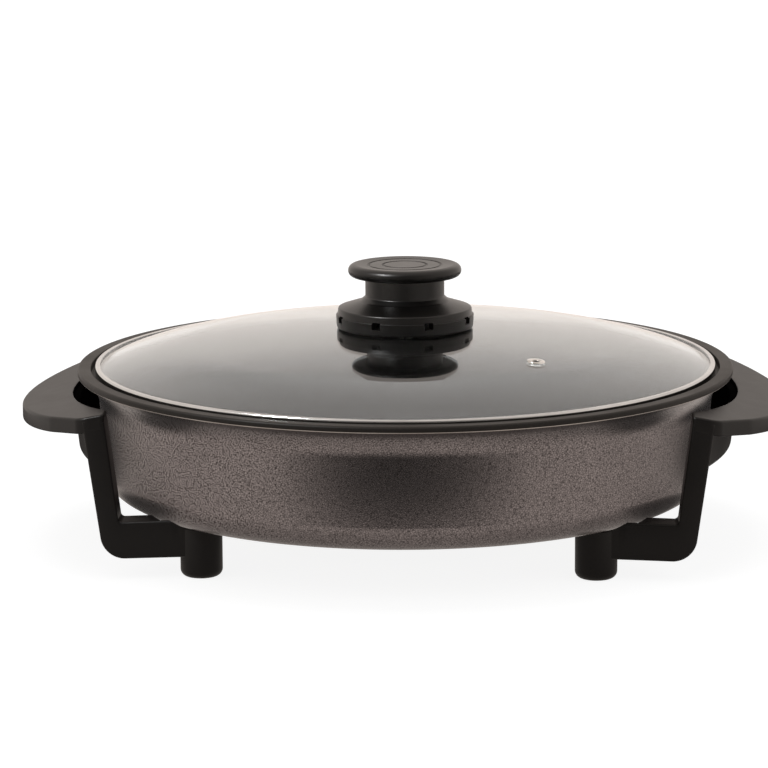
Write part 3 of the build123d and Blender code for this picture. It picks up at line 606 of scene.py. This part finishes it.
# A leg frame: a rounded rectangle carried down the upright, round the corner and along the bar.
# Its two long edges are an outer and an inner line with the same number of points.
def makeLegFrame():
    h = handle
    steps = h["frameSteps"]

    # One long edge, with the same shares of the upright, the corner and the bar on both sides.
    def longEdge(side, height):
        corner = (h["foot" + side], height, h["corner" + side])
        ends = (h["top" + side], h["topZ"], 0), (h["pillarX"], height + h["barRise"], 0)
        line = roundedOutline([ends[0], corner, ends[1]], closed=False, arcSteps=h["bendSteps"])
        upright = line[0] + (line[1] - line[0]) * np.linspace(0, 1, steps, endpoint=False)[:, None]
        bar = line[-2] + (line[-1] - line[-2]) * np.linspace(0, 1, steps)[:, None]
        return np.concatenate([upright, line[1:-2], bar])

    outer, inner = longEdge("Outer", h["barUnder"]), longEdge("Inner", h["barUnder"] + h["barHeight"])
    middle = (outer + inner) / 2
    across = (outer - inner) / 2
    halfWidth = np.linalg.norm(across, axis=1)
    across = across / halfWidth[:, None]
    edge, half = h["frameEdge"], h["frameThick"] / 2
    turn = np.linspace(0, math.pi / 2, 6)
    back = turn[::-1]
    grid = []
    for signAcross, signThick, angles in ((1, 1, turn), (-1, 1, back), (-1, -1, turn), (1, -1, back)):
        for angle in angles:
            reach = signAcross * (halfWidth - edge * (1 - math.cos(angle)))
            offset = signThick * (half - edge * (1 - math.sin(angle)))
            plane = middle + across * reach[:, None]
            grid.append(np.column_stack([plane[:, 0], np.full(len(plane), offset), plane[:, 1]]))
    return np.stack(grid, 1)


# A leg frame at y, kept under the pan.
def frameShell(grid, y):
    placed = grid + [0, y, 0]
    placed[..., 2] = np.minimum(placed[..., 2], panUnderside(np.hypot(placed[..., 0], placed[..., 1])))
    return outward(closedEnds(gridShell(placed, closeAlong=False), placed))


# A pillar with a rounded foot and the bore of its screw.
def makePillar(y):
    h = handle
    top = pan["floorUnder"] - h["pillarGap"]
    corners = [
        (0, h["boreDepth"], 0), (h["bore"], h["boreDepth"], 0), (h["bore"], 0, h["boreRound"]),
        (h["pillarRadius"], 0, h["pillarEdge"]), (h["pillarRadius"], top, 0), (0, top, 0),
    ]
    outline = splitSides(roundedOutline(corners, closed=False, arcSteps=9), h["pillarFace"], closed=False)
    return moved(lathe(outline, h["pillarSteps"]), (h["pillarX"], y, 0))


# Both handles. The faces with tag 1 look at the pan: dull, and darker as painted shade for the gap under
# the rim.
# The pan doesn't mirror the handles, so that its wall is as light beside the legs as between them.
def makeHandles():
    grid = makeLegFrame()
    shells = [makePlate(), makeApron()]
    for side in (-1, 1):
        y = side * handle["frameY"]
        shells += [{**shell, "tags": 0 * shell["tags"]} for shell in (frameShell(grid, y), makePillar(y))]
    right, left = joined(shells), mirroredX(joined(shells))
    materials = [legPhenolic, paintedShadePhenolic]
    for name, shell, node in (("handleRight", right, "handle_right"), ("handleLeft", left, "handle_left")):
        piece = addPiece(name, shell, materials, "cooker_base", node, lambda tags: tags)
        piece.visible_glossy = False


lid = {
    "crown": 109.0, "crownBend": 900.0, "crownReach": 110.0, "glass": 3.8, "rimUnder": 87.0, "rimTop": 90.8,
    "domeRadius": 156.6, "glassRadius": 159.0, "rimRound": 0.8, "centreHole": 5.0, "steps": 320,
    "steamHole": 2.5, "steamAt": 21.0, "steamCount": 3, "holeMargin": 1.35,
    "crownPoints": 40, "shoulderPoints": 22,
}
ring = {
    "outer": 160.0, "inner": 157.4, "footInner": 156.4, "foot": 86.2, "top": 91.6, "steel": 0.8,
    "round": 1.0, "lip": 0.3, "steps": 384,
}
eyelet = {
    "at": 98.5, "angle": -46.6, "bore": 1.7, "tube": 3.1, "flange": 4.7, "thick": 0.7, "fit": 0.1,
    "mouth": 0.3, "footRound": 0.2, "flangeRound": 0.25, "seatRound": 0.1, "lean": 0.2, "crown": 1.4,
    "crownRound": 0.4, "steps": 64,
}


# Height of the crown at a distance from the axis and at a depth under its upper face.
def crownHeight(distance, depth=0.0):
    return lid["crown"] - lid["crownBend"] + np.sqrt((lid["crownBend"] - depth) ** 2 - distance**2)


# The glass's section: a wide crown arc and a tighter shoulder arc that share a tangent, then the flat rim,
# and the same arcs again one thickness lower.
def glassOutline():
    g = lid
    slope = math.asin(g["crownReach"] / g["crownBend"])
    tangent = np.array([g["crownReach"], crownHeight(g["crownReach"])])
    normal = np.array([math.sin(slope), math.cos(slope)])
    rimPoint = np.array([g["domeRadius"], g["rimTop"]])
    step = rimPoint - tangent
    bend = -(step @ step) / (2 * normal @ step)
    shoulderCentre = tangent - normal * bend
    rimNormal = (rimPoint - shoulderCentre) / bend
    rimSlope = math.atan2(rimNormal[0], rimNormal[1])
    crownCentre = np.array([0, g["crown"] - g["crownBend"]])

    def arcs(depth, startSlope):
        crownTurns = np.linspace(startSlope, slope, g["crownPoints"])[:-1]
        shoulderTurns = np.linspace(slope, rimSlope, g["shoulderPoints"])
        crown = np.column_stack([np.sin(crownTurns), np.cos(crownTurns)]) * (g["crownBend"] - depth)
        shoulder = np.column_stack([np.sin(shoulderTurns), np.cos(shoulderTurns)]) * (bend - depth)
        return np.concatenate([crownCentre + crown, shoulderCentre + shoulder])

    top = arcs(0, math.asin(g["centreHole"] / g["crownBend"]))
    under = arcs(g["glass"], math.asin(g["centreHole"] / (g["crownBend"] - g["glass"])))
    corners = [
        (g["domeRadius"], g["rimTop"], 0), (g["glassRadius"], g["rimTop"], g["rimRound"]),
        (g["glassRadius"], g["rimUnder"], g["rimRound"]), (g["domeRadius"], g["rimUnder"], 0),
    ]
    return top, roundedOutline(corners, closed=False), under[::-1]


# A hole square to the glass. A window of cells is left out of both faces, and a tube of four rings closes
# the gap: the window's border above, the hole's circle above, the circle below and the border below.
# A circle's points lie on the lines from its middle to the border's points, at the glass's height there.
def cutHole(grid, keep, at, angle, radius):
    rowCount, steps = grid.shape[:2]
    pitch = 2 * math.pi / steps
    margin = radius * lid["holeMargin"]
    radii = grid[: lid["crownPoints"] + lid["shoulderPoints"] - 1, 0, 0]
    rows = np.arange(np.searchsorted(radii, at - margin) - 1, np.searchsorted(radii, at + margin) + 1)
    reach = math.ceil(margin / (at * pitch))
    columns = np.arange(-reach, reach + 1) + round(angle / pitch)
    underRows = rowCount - 1 - rows
    keep[np.ix_(rows[:-1], columns[:-1] % steps)] = False
    keep[np.ix_(underRows[1:], columns[:-1] % steps)] = False
    rings = []
    for rowNumbers, depth in ((rows, 0.0), (underRows, lid["glass"])):
        border = windowBorder(grid, rowNumbers, columns)
        spot = at * (1 - depth / lid["crownBend"])
        middle = spot * np.array([math.cos(angle), math.sin(angle)])
        spokes = border[:, :2] - middle
        plan = middle + radius * spokes / np.linalg.norm(spokes, axis=1)[:, None]
        circle = np.column_stack([plan, crownHeight(np.linalg.norm(plan, axis=1), depth)])
        rings.append((border, circle))
    (borderAbove, circleAbove), (borderBelow, circleBelow) = rings
    return gridShell(np.stack([borderAbove, circleAbove, circleBelow, borderBelow]), closeAlong=False)


# The glass turned round its axis, with the eyelet's hole and the steam holes under the knob.
def makeGlass():
    top, rim, under = glassOutline()
    grid = turnedGrid(np.concatenate([top, rim[1:-1], under]), wholeTurn(lid["steps"]))
    keep = np.ones(grid.shape[:2], bool)
    holes = [(eyelet["at"], math.radians(eyelet["angle"]), eyelet["tube"] + eyelet["fit"])]
    holes += [(lid["steamAt"], angle, lid["steamHole"]) for angle in wholeTurn(lid["steamCount"])]
    tubes = [cutHole(grid, keep, *hole) for hole in holes]
    shell = outward(joined([gridShell(grid, keep=keep), *tubes]))
    addPiece("lidGlass", shell, [lidGlass], "lid", "lid_glass")


# A C in section, which holds the glass's rim.
def makeRing():
    r = ring
    bed, lip = r["outer"] - r["steel"], r["lip"]
    corners = [
        (r["footInner"], r["foot"], lip), (r["outer"], r["foot"], r["round"]),
        (r["outer"], r["top"], r["round"]), (r["inner"], r["top"], lip), (r["inner"], lid["rimTop"], 0),
        (bed, lid["rimTop"], 0), (bed, lid["rimUnder"], 0), (r["footInner"], lid["rimUnder"], lip),
    ]
    shell = lathe(roundedOutline(corners), r["steps"], closeAlong=True)
    addPiece("lidRing", shell, [ringSteel], "lid", "lid_ring")


# A tube with a flange over the glass and one under it, made upright and then laid on the glass's slope.
def makeEyelet():
    e = eyelet
    bore, flange, thick, tube = e["bore"], e["flange"], e["thick"], e["tube"]
    grip = lid["glass"] + e["fit"]
    corners = [
        (bore, thick * 0.6, e["mouth"]), (bore, -grip - thick, e["footRound"]),
        (flange, -grip - thick, e["flangeRound"]), (flange, -grip, e["flangeRound"]),
        (tube, -grip, 0), (tube, 0, 0), (flange, 0, e["seatRound"]),
        (flange - e["lean"], thick * 0.7, e["mouth"]), (bore + e["crown"], thick, e["crownRound"]),
    ]
    shell = lathe(roundedOutline(corners), e["steps"], closeAlong=True)
    turn = math.radians(e["angle"])
    spot = Vector((e["at"] * math.cos(turn), e["at"] * math.sin(turn), crownHeight(e["at"])))
    normal = (spot - Vector((0, 0, lid["crown"] - lid["crownBend"]))).normalized()
    tilt = np.array(normal.to_track_quat("Z", "Y").to_matrix())
    shell["points"] = shell["points"] @ tilt.T + np.array(spot)
    addPiece("steamEyelet", shell, [eyeletSteel], "lid", "steam_eyelet")


knob = {
    "foot": 108.81, "skirt": 35.6, "step": 0.8, "draft": 0.4, "round": 1.0, "stepRise": 6.4, "height": 10.2,
    "inner": 31.3, "shoulder": 1.7, "neck": 20.4, "neckReach": 2.6, "neckFootRise": 3.6,
    "neckFootHeight": 2.4, "shoulderBend": 3.0, "neckTop": 26.4, "neckBore": 17.5, "webTop": 126.7,
    "hubBore": 8.66, "ventCount": 8, "ventWidth": 4.7, "ventHeight": 3.6, "ventRise": 3.5,
    "solidSteps": 16, "ventSteps": 4, "innerRound": 0.6, "webRound": 1.0, "stepRound": 0.12,
    "lowDraft": 0.2, "highDraft": 0.05,
}
cap = {
    "radius": 29.2, "height": 6.3, "plateau": 25.6, "dish": 0.4, "slope": 0.6, "edge": 5.2,
    "underReach": 2.8, "bend": 3.0, "edgeBend": 3.0, "grooves": (11.3, 18.7), "grooveWidth": 1.6,
    "grooveDepth": 0.6, "lipRound": 0.3, "grooveRound": 0.25, "plugDepth": 3.0, "plugRadius": 17.45,
    "plugRise": 1.0, "plugRound": 0.5, "faceLength": 3.0, "steps": 192,
}


# The knob's section, with points at the heights of the vents' edges on both sides of the band, and as many
# between them on its inner side as on its outer side.
def knobOutline():
    k = knob
    foot, skirt, inner, bend = k["foot"], k["skirt"], k["inner"], k["round"]
    neck, bore, web = k["neck"], k["neckBore"], k["webTop"]
    bandTop, step, neckTop = foot + k["height"], foot + k["stepRise"], foot + k["neckTop"]
    ventLow, ventHigh = foot + k["ventRise"], foot + k["ventRise"] + k["ventHeight"]
    upper, neckFoot = skirt - k["step"], bandTop + k["neckFootRise"]
    webUnder = neckFoot - k["shoulder"]
    corners = [
        (inner, foot, k["innerRound"]), (skirt - k["draft"], foot, bend),
        (skirt - k["lowDraft"], ventLow, 0), (skirt, step, k["stepRound"]), (upper, step, k["stepRound"]),
        (upper - k["highDraft"], ventHigh, 0), (upper - k["draft"], bandTop, bend),
        (neck + k["neckReach"], neckFoot, k["shoulderBend"]), (neck, neckFoot + k["neckFootHeight"], bend),
        (neck, neckTop, 0), (bore, neckTop, 0), (bore, web, k["innerRound"]),
        (k["hubBore"], web, 0), (k["hubBore"], webUnder, 0), (bore, webUnder, k["webRound"]),
        (inner, bandTop - k["shoulder"], k["webRound"]), (inner, ventHigh, 0), (inner, ventLow, 0),
    ]
    outline = roundedOutline(corners, arcSteps=6)
    radii, heights = outline[:, 0], outline[:, 1]
    beside = (heights > ventLow - tolerance) & (heights < ventHigh + tolerance) & (radii > inner + 1)
    between = np.linspace(ventHigh, ventLow, beside.sum())[1:-1]
    between = np.column_stack([np.full(len(between), inner), between])
    return np.concatenate([outline[:-1], between, outline[-1:]]), ventLow, ventHigh


# The knob turned round its axis, with lines along the sides of each vent. Cells inside a vent are left out
# on the band's outer and inner face, and a tube from border to border makes the vent's four walls.
def makeKnobBody():
    k = knob
    outline, ventLow, ventHigh = knobOutline()
    pitch = 2 * math.pi / k["ventCount"]
    half = math.asin(k["ventWidth"] / 2 / k["skirt"])
    solid, through = k["solidSteps"], k["ventSteps"]
    spans = ((-pitch / 2, -half, solid), (-half, half, through), (half, pitch / 2, solid))
    sector = np.concatenate([np.linspace(start, end, steps + 1)[:-1] for start, end, steps in spans])
    angles = np.concatenate([sector + (i + 0.5) * pitch for i in range(k["ventCount"])])
    inVent = np.tile(np.repeat([False, True, False], [solid, through, solid]), k["ventCount"])
    grid = turnedGrid(outline, angles)
    ends = np.roll(outline, -1, axis=0)
    low, high = np.minimum(outline, ends), np.maximum(outline, ends)
    onBand = low[:, 0] > k["inner"] - 0.1
    atVent = onBand & (low[:, 1] > ventLow - tolerance) & (high[:, 1] < ventHigh + tolerance)
    shells = [gridShell(grid, keep=~(atVent[:, None] & inVent[None]))]
    rows = np.flatnonzero(atVent)
    onOuter = outline[rows, 0] > k["inner"] + 1
    outerRows, innerRows = [np.append(side, side[-1] + 1) for side in (rows[onOuter], rows[~onOuter])]
    for start in np.flatnonzero(inVent & ~np.roll(inVent, 1)):
        columns = np.arange(start, start + through + 1)
        borders = [windowBorder(grid, side, columns) for side in (outerRows, innerRows[::-1])]
        shells.append(gridShell(np.stack(borders), closeAlong=False))
    addPiece("knobBody", outward(joined(shells)), [knobPhenolic], "knob", "knob_body")


# A shallow dish with two grooves, a rounded edge and the plug that sits in the neck.
def makeKnobCap():
    c = cap
    seat = knob["foot"] + knob["neckTop"]
    top, plugFoot, plugTop = seat + c["height"], seat - c["plugDepth"], seat + c["plugRise"]
    dish, edge = top - c["dish"], top - c["slope"]
    radius, plug, hollow = c["radius"], c["plugRadius"], c["plugRadius"] - c["plugDepth"]
    bend, small = c["edgeBend"], c["plugRound"]
    corners = [(0, dish, 0)]
    for middle in c["grooves"]:
        for side in (-1, 1):
            lip = (middle + side * c["grooveWidth"] / 2, dish, c["lipRound"])
            foot = (middle + side * c["grooveWidth"] / 4, dish - c["grooveDepth"], c["grooveRound"])
            corners += [lip, foot][::-side]
    corners += [
        (c["plateau"], top, c["bend"]), (radius, edge, bend), (radius, edge - c["edge"], bend),
        (radius - c["underReach"], seat, small), (plug, seat, 0), (plug, plugFoot, small),
        (hollow, plugFoot, small), (hollow, plugTop, small), (0, plugTop, 0),
    ]
    outline = splitSides(roundedOutline(corners, closed=False), c["faceLength"], closed=False)
    addPiece("knobCap", lathe(outline, c["steps"]), [knobPhenolic], "knob", "knob_cap")


# The nodes that keep their CAD mesh.
def dressNodes():
    screws = "inlet_screws leg_screws leg_washers knob_washer knob_screw retaining_washer retaining_screw"
    dressed = {
        tubeSteel: "heating_element", pinNickel: "terminal_pins", glazedCeramic: "pin_insulators",
        sleeveMetal: "sensor_sleeve", shroudPhenolic: "inlet_shroud", screwSteel: screws,
        silicone: "lower_gasket upper_gasket", turnedBrass: "knob_insert", knobPhenolic: "vent_ring",
    }
    for material, names in dressed.items():
        for name in names.split():
            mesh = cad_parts[name].data
            mesh.materials.clear()
            mesh.materials.append(material)


shot = {
    "target": (0, 0, 0.060), "distance": 1.8, "azimuth": 2.2, "elevation": 11.48, "roll": -0.22,
    "focal": 3465.0, "imageWidth": 768, "targetAt": (405.3, 418.66), "sensor": 36.0, "clip": (0.05, 50),
}


# Stands at a distance from the target, and is turned, tilted and rolled until that falls on its spot.
def makeCamera():
    s = shot
    azimuth, elevation = math.radians(s["azimuth"]), math.radians(s["elevation"])
    level = math.cos(elevation)
    back = Vector((math.sin(azimuth) * level, -math.cos(azimuth) * level, math.sin(elevation)))
    right = (-back).cross(Vector((0, 0, 1))).normalized()
    up = right.cross(-back)
    base = Matrix((right, up, back)).transposed()
    swing, tilt = [math.atan((at - s["imageWidth"] / 2) / s["focal"]) for at in s["targetAt"]]
    turns = Matrix.Rotation(math.radians(s["roll"]), 3, "Z") @ Matrix.Rotation(swing, 3, "Y")
    turns = base @ turns @ Matrix.Rotation(tilt, 3, "X")
    data = bpy.data.cameras.new("camera")
    data.sensor_width = s["sensor"]
    data.lens = s["focal"] * s["sensor"] / s["imageWidth"]
    data.clip_start, data.clip_end = s["clip"]
    camera = bpy.data.objects.new("camera", data)
    camera.matrix_world = turns.to_4x4()
    camera.location = Vector(s["target"]) + back * s["distance"]
    scene.collection.objects.link(camera)
    scene.camera = camera


studio = {
    "floorSize": 12.0, "floorGlow": 0.88, "floorColour": (0.3, 0.3, 0.3, 1), "glowFrom": 0.5, "glowTo": 2.0,
    "soft": 0.42, "warmWhite": (1.0, 0.905, 0.835, 1), "white": (1, 1, 1, 1), "black": (0, 0, 0, 1),
    "shadeCore": 0.5, "shadeEdge": 1.25, "shadeColour": 0.03,
    # each patch of painted shade: its middle, its size and its depth. Seen only in reflections, they paint
    # dark surroundings in front and at the sides, the handles' shade and reflection beside the legs, and
    # the pan's shadow under it
    "paintedShadePatches": [
        ((0.012, -0.390), (0.270, 0.149), 1.0), ((0.0, -0.72), (0.26, 0.22), 1.0),
        ((-0.72, -0.14), (0.22, 0.22), 0.8), ((0.72, -0.14), (0.22, 0.22), 0.8),
        ((-0.30, 0.38), (0.15, 0.38), 1.0), ((0.32, 0.38), (0.17, 0.38), 1.0),
        ((-0.25, 0.15), (0.07, 0.13), 1.0), ((0.28, 0.14), (0.07, 0.13), 1.0),
        ((-0.185, -0.045), (0.08, 0.07), 0.9), ((0.185, -0.045), (0.08, 0.07), 0.9),
        ((-0.13, -0.095), (0.06, 0.05), 0.4), ((0.13, -0.095), (0.06, 0.05), 0.5),
        ((0.0, 0.0), (0.22, 0.22), 0.5),
        ((-0.20, 0.34), (0.14, 0.20), 1.0), ((0.20, 0.34), (0.14, 0.20), 1.0),
    ],
    "gapMiddle": -0.06, "gapWidth": (0.08, 0.26), "gapDepth": 0.42,
    "gapHeights": [(0.27, 0.0), (0.42, 1.0), (0.52, 0.8), (0.62, 0.5), (0.78, 0.0)],
    "cookSide": (-0.95, -0.35), "cookDepth": 0.85,
    # each lamp's name, place, aim, size and power, and whether it only gleams
    "lamps": [
        ("leftBox", (-1.5, -0.7, 0.9), (0, 0, 0.06), (0.9, 1.3), 1.6, False),
        ("rightBox", (1.5, -0.7, 0.9), (0, 0, 0.06), (0.9, 1.3), 1.6, False),
        ("topBox", (0, 0.2, 1.7), (0, 0, 0.06), (1.4, 1.0), 11.0, False),
        ("smallLamp", (-0.72, -0.60, 0.93), (0, 0, 0.12), (0.24, 0.24), 16.0, True),
    ],
}


def emptyTree(owner):
    owner.use_nodes = True
    owner.node_tree.nodes.clear()
    return owner.node_tree


def lengthOf(tree, vector):
    return addNode(tree, "VectorMath", {0: vector}, operation="LENGTH").outputs["Value"]


def glowing(tree, kind, colour, strength=1.0):
    return addNode(tree, kind, {"Color": colour, "Strength": strength}).outputs[0]


# The second shader where share is 1, the first where it is 0.
def mixShaders(tree, share, first, second):
    return addNode(tree, "MixShader", {0: share, 1: first, 2: second}).outputs[0]


# 1 on rays that see a thing mirrored, and 1 on rays that see it directly or through glass.
def rayKinds(tree):
    path = addNode(tree, "LightPath").outputs
    return path["Is Glossy Ray"], maths(tree, "MAXIMUM", path["Is Camera Ray"], path["Is Transmission Ray"])


# A soft patch of painted shade round a place on the floor, as deep as depth in its middle and 0 from its
# edge outwards.
def paintedShadePatch(tree, place, middle, size, depth):
    x, y = 1 / size[0], 1 / size[1]
    inputs = {"Vector": place, "Location": (-middle[0] * x, -middle[1] * y, 0), "Scale": (x, y, 0)}
    scaled = addNode(tree, "Mapping", inputs).outputs["Vector"]
    return mapRange(tree, lengthOf(tree, scaled), studio["shadeCore"], studio["shadeEdge"], depth, 0.0)


# Pale, takes the object's shadow and glows white in the distance. In reflections it shows patches of
# painted shade.
def makeFloor():
    s = studio
    half = s["floorSize"] / 2
    mesh = bpy.data.meshes.new("floor")
    corners = [(-half, -half, 0), (half, -half, 0), (half, half, 0), (-half, half, 0)]
    mesh.from_pydata(corners, [], [(0, 1, 2, 3)])
    floor = bpy.data.objects.new("floor", mesh)
    scene.collection.objects.link(floor)
    made = bpy.data.materials.new("paleFloor")
    tree = emptyTree(made)
    place = addNode(tree, "TexCoord").outputs["Object"]
    isMirrored, isSeen = rayKinds(tree)
    shade = 0.0
    # The patches of painted shade darken the floor only where it is seen mirrored.
    for shadePatch in s["paintedShadePatches"]:
        shade = maths(tree, "MAXIMUM", paintedShadePatch(tree, place, *shadePatch), shade)
    mirrored = ramp(tree, shade, [(0.0, s["warmWhite"]), (1.0, s["shadeColour"])])
    body = addNode(tree, "BsdfDiffuse", {"Color": s["floorColour"]}).outputs[0]
    away = lengthOf(tree, place)
    strength = mapRange(tree, away, s["glowFrom"], s["glowTo"], s["floorGlow"], 1.0)
    glow = glowing(tree, "Emission", s["white"], strength)
    none = glowing(tree, "Emission", s["black"], 0.0)
    shine = glowing(tree, "Emission", mirrored)
    light = mixShaders(tree, isSeen, none, glow)
    both = addNode(tree, "AddShader", {0: body, 1: light}).outputs[0]
    addNode(tree, "OutputMaterial", {"Surface": mixShaders(tree, isMirrored, both, shine)})
    mesh.materials.append(made)


# White all round. In reflections it is warm white, dim on the cook's side, and at the back a darker gap
# lies between the backdrop and the lamp overhead.
def makeWorld():
    s = studio
    scene.world = bpy.data.worlds.new("studio")
    tree = emptyTree(scene.world)
    isMirrored, isSeen = rayKinds(tree)
    direction = addNode(tree, "TexCoord").outputs["Generated"]
    parts = addNode(tree, "SeparateXYZ", {"Vector": direction}).outputs
    sideways = maths(tree, "ABSOLUTE", maths(tree, "SUBTRACT", parts["X"], s["gapMiddle"]))
    gap = ramp(tree, parts["Z"], s["gapHeights"])
    middle = mapRange(tree, sideways, *s["gapWidth"], s["gapDepth"], 0.0)
    towards = mapRange(tree, parts["Y"], *s["cookSide"], s["cookDepth"], 0.0, "LINEAR")
    dark = maths(tree, "MAXIMUM", maths(tree, "MULTIPLY", gap, middle), towards)
    mirrored = mixColour(tree, dark, s["warmWhite"], s["black"])
    white = glowing(tree, "Background", s["white"])
    shine = glowing(tree, "Background", mirrored)
    soft = glowing(tree, "Background", s["white"], s["soft"])
    last = mixShaders(tree, isSeen, mixShaders(tree, isMirrored, soft, shine), white)
    addNode(tree, "OutputWorld", {"Surface": last})


def addLamp(name, place, aim, size, power, gleams):
    data = bpy.data.lights.new(name, "AREA")
    data.shape, data.energy = "RECTANGLE", power
    data.size, data.size_y = size
    lamp = bpy.data.objects.new(name, data)
    lamp.location = place
    lamp.rotation_euler = (Vector(aim) - Vector(place)).to_track_quat("-Z", "Y").to_euler()
    lamp.visible_camera = False
    lamp.visible_diffuse, lamp.visible_glossy = not gleams, gleams
    scene.collection.objects.link(lamp)


makeCamera()
makeFloor()
makeWorld()
for lamp in studio["lamps"]:
    addLamp(*lamp)
print("camera, floor and light ready")
makePan()
makeHeaterCastings()
print("pan ready")
makeHandles()
print("handles ready")
makeGlass()
makeRing()
makeEyelet()
print("lid ready")
makeKnobBody()
makeKnobCap()
print("knob ready")
dressNodes()
scene.view_settings.view_transform = "Standard"
